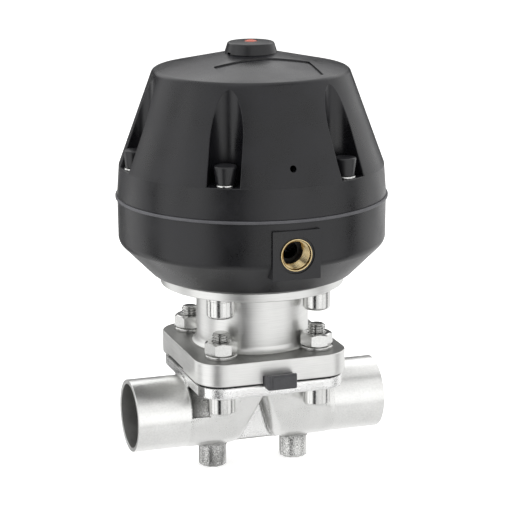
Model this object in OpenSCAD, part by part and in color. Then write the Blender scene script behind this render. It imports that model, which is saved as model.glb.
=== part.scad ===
// Two-way diaphragm valve with butt weld ends and a spring-closed membrane actuator.
// Frame: origin midway between the mounting holes, on the underside of the bosses.
// X runs along the flow, Z up the spindle. Millimetres, drawn with the valve closed.

/* [Valve body] */
// Length over the two weld ends
face_to_face = 120; // [110:1:160]
// Outside diameter of the weld ends
pipe_d = 33.7; // [28:0.1:42]
// Wall of the weld ends
pipe_wall = 2; // [1.6:0.1:2.6]
// Turned length of each weld end
spigot_l = 26; // [20:1:40]
// How far the rough casting stands proud of the turned ends
cast_step = 0.35; // [0.2:0.05:1]
// How far the mounting bosses stand below the pipe
boss_l = 10.65; // [9.5:0.05:16]
// Diameter of the mounting bosses
boss_d = 13; // [11:0.5:16]
// Distance between the mounting bosses
boss_pitch = 40; // [30:1:44]
// Tapping drill of the mounting holes
boss_tap_d = 6.8; // [5:0.1:8.5]
// Depth of the mounting holes
boss_tap_depth = 9; // [6:0.5:9.5]
// Thickness of the web between the two passages
web_t = 6; // [4:0.5:9]
// Wall of the casting round the passages
cast_wall = 3; // [2.5:0.1:4]
// Half width of the groove under the weir, at the pipe's underside
groove_half = 13; // [9:0.5:14]
// Rounding of the passage toes beside the groove
toe_r = 6.5; // [3:0.5:8]
// Diameter of the bowl under the diaphragm
bowl_d = 42; // [38:0.5:44]
// Depth of the bowl down to the weir
bowl_depth = 13; // [11:0.5:14]
// Thickness of the weir's crest
weir_t = 5; // [4:0.5:7]
// Thickness of the body flange
body_flange_t = 5.4; // [5:0.1:8]
// How deep the pipe's top line cuts into the body flange
flange_sink = 2.15; // [0.8:0.05:4]
// Corner radius of the body flange
body_corner_r = 11.8; // [10:0.1:14]

/* [Flange bolting] */
// Bolt spacing along the flow
bolt_x = 46; // [44:0.5:56]
// Gap between the pipe and a bolt head
bolt_gap = 1.3; // [1.2:0.05:4]
// Thread diameter of bolts and base screws
bolt_d = 8; // [6:0.5:10]
// Head diameter of bolts and base screws
head_d = 12.7; // [11:0.1:15]
// Head height
head_h = 8; // [6:0.5:10]
// Key size of the hexagon socket
socket_af = 6; // [4:0.5:7]
// Width across flats of the nuts
nut_af = 13; // [11:0.5:17]
// Height of the nuts
nut_h = 6.5; // [5:0.1:9]
// Diameter of the washers under the nuts
nut_washer_d = 15; // [13.5:0.5:18]
// Thickness of all washers
washer_t = 1.6; // [1:0.1:2.5]
// Length of thread that stands over a nut
thread_over = 2.6; // [1:0.1:5]
// Radial clearance of the bolt holes
hole_gap = 0.5; // [0.3:0.05:1]
// Room that the casting leaves round a bolt head
head_gap = 0.3; // [0.2:0.05:1]
// Radial play of the washers on their screws
washer_play = 0.3; // [0.2:0.05:0.4]
// How far the washers under the heads stand out of them
washer_out = 0.2; // [0.1:0.05:0.6]
// Turn of the nuts about their bolts, in degrees
nut_turn = 52; // [0:1:59]

/* [Distance piece] */
// Thickness of its square flange
flange_t = 10.6; // [8:0.1:14]
// Corner radius of its square flange, about the bolts
flange_corner_r = 13; // [11.5:0.1:16]
// Outside diameter of the neck
neck_d = 52; // [48:0.5:54]
// Fillet between the neck and the flange
neck_fillet = 3.5; // [2:0.1:5]
// Clear length of the neck between flange and disc
neck_l = 28.5; // [27:0.5:45]
// Thickness of the disc that carries the actuator
disc_t = 4; // [3.5:0.1:6]
// Width of the disc outside the base screw heads
disc_rim = 2.5; // [1:0.1:4]
// Room round a nut washer in the neck's lower scallops
scallop_gap = 0.6; // [0.5:0.1:3]
// Height of the lower scallops
scallop_h = 13; // [11:0.5:14]
// Height of the solid guide under the disc
guide_h = 15; // [12:0.5:18]

/* [Sealing diaphragm] */
// Thickness of the clamped edge that shows between the flanges
edge_t = 1; // [0.8:0.1:2]
// Thickness of the dome
dome_t = 3; // [2:0.1:3.5]
// Width of the marking tab
tab_w = 14; // [10:0.5:16]
// Height of the marking tab over the body flange
tab_h = 6.2; // [5:0.1:7]
// How far the tab stands out of the distance piece
tab_out = 6.5; // [3:0.5:8]
// Depth of the notch that the tab lies in
notch_depth = 5; // [3:0.5:6]
// Clearance of the tab in its notch
tab_gap = 0.4; // [0.2:0.05:1]
// Gap left between the dome and the seat, and between dome and compressor
seat_gap = 0.3; // [0.1:0.05:0.5]
// Diameter of the head of the moulded-in stud
stud_head_d = 10; // [8:0.5:12]
// Diameter of the stud
stud_d = 6; // [5:0.5:7]
// Thickness of the head of the moulded-in stud
stud_head_h = 2; // [1.5:0.1:2.5]
// Rubber under the head of the stud
stud_skin = 1.2; // [0.8:0.1:1.6]
// Rubber round the head of the stud
stud_cover = 2; // [1.5:0.1:3]
// How far the clamped edge stays inside the body flange
edge_inset = 0.4; // [0.2:0.05:1]
// How far the tab's foot hangs over the body flange
tab_lip = 0.6; // [0.3:0.05:1]

/* [Spindle] */
// Diameter of the spindle
spindle_d = 10; // [8:0.5:12]
// Radial running clearance of the spindle in its bush
run_gap = 0.05; // [0.02:0.01:0.1]
// Lift of the spindle from closed to open
stroke = 10; // [8:0.5:12]
// Wall of the guide bush and of the seals
bush_wall = 3; // [2:0.5:4]
// Diameter of the compressor
compressor_d = 34; // [30:0.5:36]
// Height of the compressor's skirt over the clamped edge
compressor_h = 7; // [6:0.5:9]
// Diameter of the pin that holds the compressor
pin_d = 4; // [3:0.5:5]
// Wall of the compressor's neck round the spindle
compressor_neck_wall = 4; // [3:0.5:5]
// Height of the compressor's neck
compressor_neck_h = 8; // [7:0.5:10]
// Room over the compressor when the valve is open
lift_spare = 0.8; // [0.5:0.1:2]
// Width of the spindle's collar
collar_w = 3; // [2:0.5:4]

/* [Actuator housing] */
// Greatest diameter of the lower housing
belt_d = 122.8; // [116:0.2:136]
// How far the lower housing's foot stands out over the disc
foot_out = 4.1; // [0.5:0.1:6]
// Height of that step
foot_h = 1.4; // [0.5:0.1:2]
// Height of the lower housing's conical base
base_cone_h = 16.4; // [14:0.2:22]
// Rounding between the conical base and the belt
belt_fillet = 5; // [2:0.5:7]
// Height of the lower housing
lower_h = 36.1; // [33:0.1:44]
// Thickness of the lower housing's floor
floor_t = 5; // [4:0.5:7]
// Wall of the bosses round the inserts and the spindle seals
boss_wall = 2.5; // [2:0.1:3]
// Thickness of the floor under the spindle seals, over the housing's floor
seal_floor = 2; // [1:0.5:4]
// Height of the pair of spindle seals
seal_h = 4; // [3:0.5:6]
// Step of the lower housing's rim over its belt
rim_step = 0.2; // [0:0.05:0.5]
// Step of the upper housing's foot over the belt
band_step = 0.3; // [0:0.05:0.6]
// How far the clamped ring stands out between the housings
ridge_out = 1.1; // [0.6:0.1:2]
// Thickness of the clamped ring
ridge_t = 1.4; // [1:0.1:2.5]
// Height of the upper housing's band
band_h = 14.1; // [12:0.1:18]
// Draft of the band on the radius
band_draft = 1.05; // [0.3:0.05:1.5]
// Rounding between the band and the cone
shoulder_r = 2; // [1:0.5:4]
// Height of the upper housing's cone
cone_h = 43; // [40:0.2:56]
// How far the crown's edge lies inside the backs of the screw pockets
crown_inset = 0.9; // [0.5:0.1:3]
// Rounding of the crown's edge
crown_fillet = 2; // [1:0.5:7]
// Rise of the shallow roof from the crown to the hub
roof_h = 7.2; // [6:0.1:12]
// Width of the clamped rim inside the screw circle
rim_land = 5; // [4.5:0.1:7]
// Wall between the screw pockets and the spring chamber
chamber_wall = 4.7; // [3:0.1:6]
// Depth of the roof over the spring chamber, below the crown
roof_t = 5.4; // [4:0.1:8]
// Half width of the six screw pockets
pocket_r = 7.3; // [6.5:0.1:8]
// Distance of the housing screws from the belt's outside
screw_inset = 6.3; // [5.5:0.1:7.5]
// How far the pockets' round backs are centred inside the screws
pocket_back = 2; // [1:0.1:4]
// Diameter of the breather hole
breather_d = 3; // [2:0.5:4]
// Height of the breather hole over the band
breather_h = 7.5; // [4:0.5:10]
// Width of the bare label field on the roof
label_w = 45; // [30:1:52]
// Distance of the label field's back edge from the axis
label_from = 15; // [13:0.5:20]
// Depth of the label field
label_depth = 0.7; // [0.3:0.1:1]
// Width of the rim between the label field and the crown
label_rim = 4; // [4:0.1:8]

/* [Air port] */
// Width of the flat port pad
pad_w = 22; // [18:0.5:26]
// Height of the flat port pad
pad_h = 22.2; // [18:0.2:24]
// How far the pad stands out of the belt
pad_out = 1; // [0.6:0.1:1.1]
// Height of the port over the disc
port_h = 21.8; // [18:0.1:24]
// Outside diameter of the threaded insert
port_insert_d = 14.4; // [13:0.1:16]
// Bore of the threaded insert
port_bore_d = 11.44; // [9:0.02:12]
// Length of the threaded insert
port_insert_l = 11; // [9:0.5:12]
// Diameter of the shallow recess round the insert
port_recess_d = 16.6; // [15:0.1:18]
// Depth of the shallow recess round the insert
port_recess_depth = 0.8; // [0.4:0.1:2]
// Diameter of the way from the port into the chamber
port_way_d = 8; // [6:0.5:9]

/* [Housing fasteners] */
// Thread diameter of the housing screws
screw_d = 5; // [4:0.5:6]
// Head diameter of the housing screws
screw_head_d = 8.5; // [7:0.1:10]
// Head height of the housing screws
screw_head_h = 5; // [4:0.1:6]
// Key size of the housing screws
screw_socket_af = 4; // [3:0.5:5]
// Radial clearance of the housing screws in their holes
screw_gap = 0.3; // [0.2:0.05:0.5]
// Radial clearance of their heads
screw_head_gap = 0.15; // [0.1:0.05:0.5]
// How far a screw head stands over its pocket floor
screw_head_over = 1; // [0.5:0.1:2]
// Height of the plug in a screw head
plug_h = 8; // [5:0.5:10]
// Depth of the plug's stem in the screw's socket
plug_stem_h = 2.4; // [1:0.1:2.4]
// Diameter of the plug at its foot
plug_foot_d = 8.3; // [6:0.1:8.5]
// Diameter of the plug at its top
plug_top_d = 10.2; // [8:0.1:11]
// Outside diameter of the inserts for the housing screws
insert_d = 7; // [6:0.1:8]
// Length of the inserts for the housing screws
insert_l = 10; // [8:0.5:12]
// Outside diameter of the inserts for the base screws
base_insert_d = 11; // [10:0.1:12]
// Length of the inserts for the base screws
base_insert_l = 11; // [9:0.5:12]
// How far a screw ends before the end of its insert
thread_end_gap = 0.5; // [0.3:0.1:2]
// Radial gap of pieces that are pressed or screwed together
fit_gap = 0.05; // [0.02:0.01:0.1]

/* [Actuator inside] */
// Gap between the spindle's collar and the seal housing, valve closed
collar_gap = 1.5; // [1:0.1:4]
// Height of the spindle's collar
collar_h = 4; // [3:0.5:6]
// Width of the actuator diaphragm's rolling fold
fold_w = 11; // [9:0.5:14]
// Thickness of the lower plate
lower_plate_t = 2.4; // [2:0.1:4]
// Thickness of the actuator diaphragm
membrane_t = 1.6; // [1.2:0.1:2]
// Thickness of the spring plate
spring_plate_t = 3; // [2:0.1:4]
// Wire of the outer spring
outer_wire = 4.4; // [3:0.1:5]
// Distance of the outer spring's mean line from the plate's edge
spring_inset = 8; // [5:0.5:10]
// Turns of the outer spring
outer_turns = 6; // [5:0.5:8]
// Wire of the inner spring
inner_wire = 3.2; // [2:0.1:4]
// Distance between the mean lines of the two springs
spring_step = 12.5; // [9:0.5:13]
// Turns of the inner spring
inner_turns = 8; // [6:0.5:9]
// Width across flats of the spindle nut
stem_nut_af = 17; // [15:0.5:19]
// Height of the spindle nut
stem_nut_h = 8; // [6:0.5:10]
// Length of the spindle over its nut
spindle_over = 3; // [1:0.5:5]

/* [Indicator] */
// Diameter of the hub at its foot
hub_d = 24; // [22:0.1:28]
// Diameter of the hub at its top
hub_top_d = 21; // [18:0.1:24]
// Height of the hub
hub_h = 4.8; // [4:0.2:8]
// Diameter of the hub's neck in the roof
hub_neck_d = 16; // [14:0.5:18]
// Diameter of the indicator pin
indicator_d = 6; // [5:0.2:8]
// Height of the pin's dome over the hub, valve closed
indicator_over = 1; // [0.5:0.1:2]
// Rise of the pin's dome
indicator_dome = 1.2; // [0.6:0.1:2]
// Thickness of the pin's sealing ring
oring_w = 2; // [1.5:0.1:2.5]
// Depth of the sealing ring below the roof's top
oring_depth = 6; // [4:0.5:8]
// Width of the small notch in the hub's foot
hub_notch_w = 2.4; // [1.5:0.1:4]
// Height of the small notch
hub_notch_h = 0.9; // [0.5:0.1:2]
// Direction of the small notch, in degrees
hub_notch_turn = 196; // [0:1:359]

/* [Hidden] */
$fn = 64;
hull_fn = 32;
over = 0.1;
foot_gap = 0.5;

// Levels of the valve, from the mounting face upwards
pipe_r = pipe_d / 2;
axis_h = pipe_r + boss_l;
bore_r = pipe_r - pipe_wall;
cast_r = pipe_r + cast_step;
cast_half = face_to_face / 2 - spigot_l;
body_under = axis_h + pipe_r - flange_sink;
body_top = body_under + body_flange_t;
flange_z = body_top + edge_t;
neck_z = flange_z + flange_t;
disc_under = neck_z + neck_l;
disc_top = disc_under + disc_t;
rim_z = disc_top + lower_h;
split_z = rim_z + ridge_t;
band_top = split_z + band_h;
crown_z = band_top + cone_h;
hub_z = crown_z + roof_h;
hub_top = hub_z + hub_h;
ceiling_z = crown_z - roof_t;

// Bolting pattern, shared by the body, the distance piece and the lower housing
bolt_y = pipe_d + head_d + 2 * bolt_gap;
bolt_r = bolt_d / 2;
bolt_hole_r = bolt_r + hole_gap;
bolt_at = norm([bolt_x, bolt_y]) / 2;
disc_r = bolt_at + head_d / 2 + disc_rim;
flange_size = [bolt_x + 2 * flange_corner_r, bolt_y + 2 * flange_corner_r];
body_size = [bolt_x + 2 * body_corner_r, bolt_y + 2 * body_corner_r];
flange_front = -flange_size.y / 2;
nut_z = neck_z + washer_t;
bolt_seat = body_under - washer_t;
bolt_l = nut_z + nut_h + thread_over - bolt_seat;
base_screw_seat = disc_under - washer_t;
base_screw_l = washer_t + disc_t + base_insert_l - thread_end_gap;

// Bowl, dome and compressor are parts of spheres about one centre
bowl_r = bowl_d / 2;
bowl_R = (bowl_r * bowl_r + bowl_depth * bowl_depth) / (2 * bowl_depth);
bowl_cz = body_top - bowl_depth + bowl_R;
dome_R = bowl_R - seat_gap;
dome_inner_R = dome_R - dome_t;
compressor_R = dome_inner_R - seat_gap;
dome_floor = bowl_cz - dome_inner_R;
stud_boss_r = stud_head_d / 2 + stud_cover;
stud_boss_z = dome_floor + 2 * stud_cover;
stud_head_z = bowl_cz - dome_R + stud_skin;
stud_top = stud_boss_z + compressor_neck_h;
compressor_top = flange_z + compressor_h;
compressor_neck_r = spindle_d / 2 + compressor_neck_wall;
cavity_top = compressor_top + compressor_neck_h + stroke + lift_spare;
guide_z = disc_top - guide_h;

// Housings
belt_r = belt_d / 2;
screw_at = belt_r - screw_inset;
pocket_at = screw_at - pocket_back;
rim_r = belt_r + rim_step;
ridge_r = belt_r + ridge_out;
band_r = belt_r + band_step;
rim_bore_r = screw_at - rim_land;
chamber_r = pocket_at - pocket_r - chamber_wall;
crown_r = pocket_at - pocket_r - crown_inset;
hub_r = hub_d / 2;
floor_z = disc_top + floor_t;
hub_guide_z = floor_z + seal_floor + seal_h;
pad_y = belt_r + pad_out;
port_z = disc_top + port_h;
screw_seat = band_top + screw_head_over - screw_head_h;
plug_z = band_top + screw_head_over;
label_edge = crown_r - label_rim;

// Spindle and what rides on it
spindle_r = spindle_d / 2;
spindle_foot = stud_top + foot_gap;
bush_r = spindle_r + run_gap + bush_wall;
plate_z = hub_guide_z + collar_gap + collar_h;
membrane_z = plate_z + lower_plate_t;
spring_plate_z = membrane_z + membrane_t;
spring_seat = spring_plate_z + spring_plate_t;
spindle_top = spring_seat + stem_nut_h + spindle_over;
pin_z = compressor_top + compressor_neck_h / 2;
plate_r = rim_bore_r - fold_w;
outer_coil_d = 2 * (plate_r - spring_inset);
inner_coil_d = outer_coil_d - 2 * spring_step;

// The points of a round corner of radius r at b, on the way from a to c
function unit(v) = v / norm(v);
function corner(a, b, c, r, steps = 6) =
    let (u = unit(a - b), v = unit(c - b), half = acos(u * v) / 2, turn = 180 - 2 * half)
    let (centre = b + unit(u + v) * r / sin(half))
    let (from = b + u * r / tan(half) - centre, to = b + v * r / tan(half) - centre)
    [for (i = [0 : steps]) let (t = turn * i / steps)
        centre + (from * sin(turn - t) + to * sin(t)) / sin(turn)];

module at_bolts() {
    for (x = [-1, 1], y = [-1, 1])
        translate([x * bolt_x / 2, y * bolt_y / 2, 0]) children();
}

module at_screws(radius) {
    for (i = [0 : 5])
        rotate([0, 0, 60 * i]) translate([radius, 0, 0]) children();
}

module both_ends() {
    children();
    mirror([1, 0, 0]) children();
}

module rounded_plate(size, r, h) {
    linear_extrude(h) {
        square([size.x - 2 * r, size.y], center = true);
        square([size.x, size.y - 2 * r], center = true);
        for (x = [-1, 1], y = [-1, 1])
            translate([x * (size.x / 2 - r), y * (size.y / 2 - r)]) circle(r);
    }
}

module ring(r_out, r_in, h) {
    rotate_extrude() translate([r_in, 0]) square([r_out - r_in, h]);
}

module head_washer() {
    ring(head_d / 2 + washer_out, bolt_r + washer_play, washer_t);
}

// A socket head screw, seated at z = 0, with its thread upwards
module cap_screw(d, head, height, af, length) {
    bevel = 0.6;
    difference() {
        rotate_extrude()
            polygon([[0, -height], [head / 2 - bevel, -height], [head / 2, bevel - height],
                [head / 2, 0], [d / 2, 0], [d / 2, length - bevel],
                [d / 2 - bevel, length], [0, length]]);
        translate([0, 0, -height - over]) cylinder(r = af / 2 / cos(30), h = height / 2 + over, $fn = 6);
    }
}

// A hexagon nut with chamfered corners, standing on z = 0
module hex_nut(af, h, hole_r) {
    corner_r = af / 2 / cos(30);
    bevel = (corner_r - af / 2) * 0.6;
    difference() {
        intersection() {
            cylinder(r = corner_r, h = h, $fn = 6);
            rotate_extrude()
                polygon([[0, 0], [af / 2, 0], [corner_r + over, bevel], [corner_r + over, h - bevel],
                    [af / 2, h], [0, h]]);
        }
        translate([0, 0, -over]) cylinder(r = hole_r, h = h + 2 * over);
    }
}

// Half a round plate, on the side of negative X
module half_round(r, h, inset) {
    intersection() {
        cylinder(r = r, h = h, $fn = hull_fn);
        translate([-2 * r - inset, -r, 0]) cube([2 * r, 2 * r, h]);
    }
}

// One passage of the body: a pipe that rises to the bowl, with a toe beside the groove
module passage(r, toe_x, round_by, roof_r, roof_z, inset) {
    hull() {
        translate([-cast_half, 0, axis_h]) rotate([0, 90, 0]) cylinder(r = r, h = 1, $fn = hull_fn);
        for (t = [0 : 30 : 60])
            translate([round_by * (sin(t) - 1) - toe_x, 0, axis_h]) rotate([0, 90, 0])
                cylinder(r1 = r - round_by * (1 - cos(t)), r2 = r - round_by * (1 - cos(t + 30)),
                    h = round_by * (sin(t + 30) - sin(t)), $fn = hull_fn);
        translate([0, 0, roof_z]) half_round(roof_r, body_under + over - roof_z, inset);
    }
}

module valve_body() {
    tap_r = boss_tap_d / 2;
    inner_toe = groove_half + cast_wall - toe_r;
    bowl_at_flange = sqrt(bowl_R * bowl_R - pow(bowl_cz - body_under, 2));
    roof_drop = 2.5;
    inner_drop = 5;
    bowl_lip = 2;
    color("gainsboro")
    difference() {
        union() {
            translate([0, 0, body_under]) rounded_plate(body_size, body_corner_r, body_flange_t);
            both_ends() passage(cast_r, groove_half - toe_r, toe_r, bowl_at_flange + cast_wall,
                body_under - roof_drop, 0);
            both_ends() translate([-face_to_face / 2, 0, axis_h]) rotate([0, 90, 0])
                cylinder(r = pipe_r, h = spigot_l + over);
            translate([-groove_half - toe_r, -web_t / 2, axis_h - pipe_r])
                cube([2 * (groove_half + toe_r), web_t, body_under - axis_h + pipe_r]);
            intersection() {
                translate([0, 0, bowl_cz]) sphere(r = bowl_R + cast_wall);
                translate([0, 0, axis_h]) cylinder(r = bowl_r, h = body_under - axis_h + over);
            }
            both_ends() translate([-boss_pitch / 2, 0, 0]) cylinder(d = boss_d, h = axis_h - bore_r - over);
        }
        translate([0, 0, bowl_cz]) sphere(r = bowl_R);
        both_ends() passage(bore_r - over, inner_toe, toe_r, bowl_at_flange - bowl_lip,
            body_under - inner_drop, weir_t / 2);
        both_ends() translate([-face_to_face / 2 - over, 0, axis_h]) rotate([0, 90, 0])
            cylinder(r = bore_r, h = spigot_l + 2 * over);
        both_ends() translate([-boss_pitch / 2, 0, -over]) cylinder(r = tap_r, h = boss_tap_depth + over);
        at_bolts() translate([0, 0, body_under - over])
            cylinder(r = bolt_hole_r, h = body_flange_t + 2 * over);
        at_bolts() translate([0, 0, bolt_seat - head_h - head_gap])
            cylinder(r = head_d / 2 + head_gap, h = head_h + head_gap + washer_t);
    }
}

module sealing_diaphragm() {
    tab_front = flange_front - tab_out;
    tab_back = flange_front + notch_depth;
    tab_bevel = 1;
    color("#1d1d1f")
    difference() {
        union() {
            difference() {
                translate([0, 0, body_top])
                    rounded_plate(body_size - [2, 2] * edge_inset, body_corner_r - edge_inset, edge_t);
                translate([0, 0, bowl_cz]) sphere(r = dome_inner_R);
            }
            rotate_extrude() intersection() {
                translate([0, bowl_cz]) difference() {
                    circle(dome_R);
                    circle(dome_inner_R);
                }
                translate([0, bowl_cz - bowl_R]) square([bowl_R, bowl_R - bowl_cz + flange_z]);
            }
            translate([0, 0, dome_floor - 1]) cylinder(r = stud_boss_r, h = stud_boss_z - dome_floor + 1);
            translate([-tab_w / 2, tab_front + tab_bevel, body_top])
                cube([tab_w, tab_back - tab_front - tab_bevel, tab_h]);
            translate([0, 0, body_top - tab_lip]) linear_extrude(tab_h + tab_lip)
                polygon([[-tab_w / 2, flange_front - tab_gap], [-tab_w / 2, tab_front + tab_bevel],
                    [tab_bevel - tab_w / 2, tab_front], [tab_w / 2 - tab_bevel, tab_front],
                    [tab_w / 2, tab_front + tab_bevel], [tab_w / 2, flange_front - tab_gap]]);
        }
        at_bolts() translate([0, 0, body_top - over]) cylinder(r = bolt_hole_r, h = edge_t + 2 * over);
        translate([0, 0, stud_head_z - seat_gap])
            cylinder(r = stud_head_d / 2 + seat_gap, h = stud_head_h + 2 * seat_gap);
        translate([0, 0, stud_head_z]) cylinder(r = stud_d / 2 + seat_gap, h = stud_boss_z);
    }
}

module distance_piece() {
    neck_r = neck_d / 2;
    scallop_r = nut_washer_d / 2 + scallop_gap;
    notch_half = tab_w / 2 + tab_gap;
    head_room = washer_t + head_h;
    way_gap = 1;
    color("silver")
    difference() {
        union() {
            translate([0, 0, flange_z]) rounded_plate(flange_size, flange_corner_r, flange_t);
            translate([0, 0, neck_z - over]) cylinder(r = neck_r, h = neck_l + 2 * over);
            translate([0, 0, neck_z]) rotate_extrude() difference() {
                translate([neck_r - 1, -over]) square([neck_fillet + 1, neck_fillet + over]);
                translate([neck_r + neck_fillet, neck_fillet]) circle(neck_fillet);
            }
            translate([0, 0, disc_under]) cylinder(r = disc_r, h = disc_t);
        }
        at_bolts() translate([0, 0, neck_z]) cylinder(r = scallop_r, h = scallop_h);
        at_bolts() translate([0, 0, disc_under - head_room])
            cylinder(r = head_d / 2 + head_gap, h = head_room);
        at_bolts() translate([0, 0, flange_z - over]) cylinder(r = bolt_hole_r, h = flange_t + 2 * over);
        at_bolts() translate([0, 0, disc_under - over]) cylinder(r = bolt_hole_r, h = disc_t + 2 * over);
        translate([-notch_half, flange_front - over, flange_z - over])
            cube([2 * notch_half, notch_depth + tab_gap + over, tab_h - edge_t + tab_gap + over]);
        translate([0, 0, flange_z - over]) cylinder(r = bowl_r, h = cavity_top - flange_z + over);
        translate([0, 0, cavity_top - over])
            cylinder(r = spindle_r + way_gap, h = disc_top - cavity_top + 2 * over);
        translate([0, 0, guide_z]) cylinder(r = bush_r + fit_gap, h = guide_h + over);
    }
}

module body_screws() {
    color("lightgray") at_bolts() translate([0, 0, bolt_seat])
        cap_screw(bolt_d, head_d, head_h, socket_af, bolt_l);
}

module body_screw_washers() {
    color("silver") at_bolts() translate([0, 0, bolt_seat]) head_washer();
}

module nut_washers() {
    color("silver") at_bolts() translate([0, 0, neck_z])
        ring(nut_washer_d / 2, bolt_r + washer_play, washer_t);
}

module body_nuts() {
    color("lightgray") at_bolts() translate([0, 0, nut_z]) rotate([0, 0, nut_turn])
        hex_nut(nut_af, nut_h, bolt_r + fit_gap);
}

module lower_housing() {
    foot = [disc_r, disc_top];
    toe = foot + [foot_out, foot_h];
    knee = [belt_r, disc_top + base_cone_h];
    rim = [rim_r, rim_z];
    inner_knee = [rim_bore_r, knee.y];
    inner_foot = [disc_r - floor_t, floor_z];
    base_boss_r = base_insert_d / 2 + boss_wall;
    skin = 0.5;
    way_gap = 1;
    blind = 1;
    color("#343436")
    difference() {
        union() {
            rotate_extrude()
                polygon(concat([[0, disc_top], foot, toe], corner(toe, knee, rim, belt_fillet),
                    [rim, [rim_bore_r, rim_z]], [inner_knee, inner_foot, [0, floor_z]]));
            intersection() {
                at_bolts() translate([0, 0, disc_top])
                    cylinder(r = base_boss_r, h = base_insert_l + boss_wall);
                translate([0, 0, disc_top])
                    cylinder(r1 = disc_r - skin, r2 = belt_r - skin, h = base_cone_h);
            }
            translate([0, 0, disc_top]) cylinder(r = bush_r + boss_wall, h = hub_guide_z - disc_top);
            translate([-pad_w / 2, -pad_y, port_z - pad_h / 2])
                cube([pad_w, pad_y - rim_bore_r - skin, pad_h]);
        }
        translate([0, 0, disc_top - over]) cylinder(r = spindle_r + way_gap, h = hub_guide_z);
        translate([0, 0, hub_guide_z - seal_h]) cylinder(r = bush_r + fit_gap, h = seal_h + over);
        at_bolts() translate([0, 0, disc_top - over])
            cylinder(r = base_insert_d / 2 + fit_gap, h = base_insert_l + over);
        at_screws(screw_at) translate([0, 0, rim_z - insert_l - blind])
            cylinder(r = insert_d / 2 + fit_gap, h = insert_l + blind + over);
        translate([0, 0, port_z]) rotate([90, 0, 0]) {
            translate([0, 0, pad_y - port_insert_l])
                cylinder(r = port_insert_d / 2 + fit_gap, h = port_insert_l + over);
            translate([0, 0, pad_y - port_recess_depth])
                cylinder(d = port_recess_d, h = port_recess_depth + over);
            translate([0, 0, disc_r]) cylinder(d = port_way_d, h = pad_y - port_insert_l - disc_r + over);
        }
    }
}

module air_port_insert() {
    bevel = 0.7;
    bore = port_bore_d / 2;
    wall = port_insert_d / 2;
    color("#c9a54c") translate([0, -pad_y, port_z]) rotate([-90, 0, 0]) rotate_extrude()
        polygon([[bore + bevel, 0], [wall, 0], [wall, port_insert_l], [bore, port_insert_l], [bore, bevel]]);
}

module base_screws() {
    color("lightgray") at_bolts() translate([0, 0, base_screw_seat])
        cap_screw(bolt_d, head_d, head_h, socket_af, base_screw_l);
}

module base_washers() {
    color("silver") at_bolts() translate([0, 0, base_screw_seat]) head_washer();
}

module base_inserts() {
    color("#c9a54c") at_bolts() translate([0, 0, disc_top])
        ring(base_insert_d / 2, bolt_r + fit_gap, base_insert_l);
}

module guide_bush() {
    color("#b08d57") translate([0, 0, guide_z]) ring(bush_r, spindle_r + run_gap, guide_h - over);
}

module spindle_seals() {
    half = seal_h / 2;
    color("#222222") translate([0, 0, hub_guide_z - seal_h]) {
        ring(bush_r, spindle_r + run_gap, half - over);
        translate([0, 0, half]) ring(bush_r, spindle_r + run_gap, half);
    }
}

module actuator_diaphragm() {
    wall_top = rim_bore_r - 0.6;
    wall_foot = plate_r + 1.5;
    bevel = 0.4;
    fold_drop = 3;
    color("#4a4a4c")
    difference() {
        rotate_extrude()
            polygon([[spindle_r + fit_gap, membrane_z], [wall_foot, membrane_z],
                [wall_top, rim_z - fold_drop], [wall_top, rim_z], [ridge_r - bevel, rim_z],
                [ridge_r, rim_z + bevel], [ridge_r, split_z - bevel], [ridge_r - bevel, split_z],
                [wall_top - membrane_t, split_z], [wall_top - membrane_t, rim_z - fold_drop + bevel],
                [wall_foot - membrane_t, spring_plate_z], [spindle_r + fit_gap, spring_plate_z]]);
        at_screws(screw_at) translate([0, 0, rim_z - over])
            cylinder(r = screw_d / 2 + screw_gap, h = ridge_t + 2 * over);
    }
}

module upper_housing() {
    foot = [band_r, split_z];
    shoulder = [band_r - band_draft, band_top];
    crown = [crown_r, crown_z];
    eaves = [hub_r, hub_z];
    slope = roof_h / (crown_r - hub_r);
    chamber_z = band_top - 3;
    color("#343436")
    difference() {
        rotate_extrude()
            polygon(concat([[rim_bore_r, split_z], foot], corner(foot, shoulder, crown, shoulder_r),
                corner(shoulder, crown, eaves, crown_fillet), [eaves, [0, hub_z], [0, ceiling_z]],
                [[chamber_r, ceiling_z], [chamber_r, chamber_z]],
                [[rim_bore_r, chamber_z - rim_bore_r + chamber_r]]));
        at_screws(pocket_at) translate([0, 0, band_top]) {
            cylinder(r = pocket_r, h = cone_h + roof_h);
            translate([0, -pocket_r, 0]) cube([band_r, 2 * pocket_r, cone_h + roof_h]);
        }
        at_screws(screw_at) {
            translate([0, 0, split_z - over]) cylinder(r = screw_d / 2 + screw_gap, h = band_h + 2 * over);
            translate([0, 0, screw_seat]) cylinder(r = screw_head_d / 2 + screw_head_gap, h = screw_head_h);
        }
        translate([0, 0, ceiling_z - over]) cylinder(r = hub_neck_d / 2 + fit_gap, h = hub_z);
        translate([0, 0, band_top + breather_h]) rotate([90, 0, 0])
            cylinder(d = breather_d, h = band_r);
        intersection() {
            translate([-label_w / 2, -label_edge, 0]) cube([label_w, label_edge - label_from, hub_top]);
            rotate_extrude()
                polygon([[hub_r, hub_z - label_depth], [label_edge, hub_z - label_depth
                    - slope * (label_edge - hub_r)], [label_edge, hub_z + 1], [hub_r, hub_z + 1]]);
        }
    }
}

module housing_screws() {
    color("silver") at_screws(screw_at) translate([0, 0, screw_seat]) mirror([0, 0, 1])
        cap_screw(screw_d, screw_head_d, screw_head_h, screw_socket_af,
            screw_seat - rim_z + insert_l - thread_end_gap);
}

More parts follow.
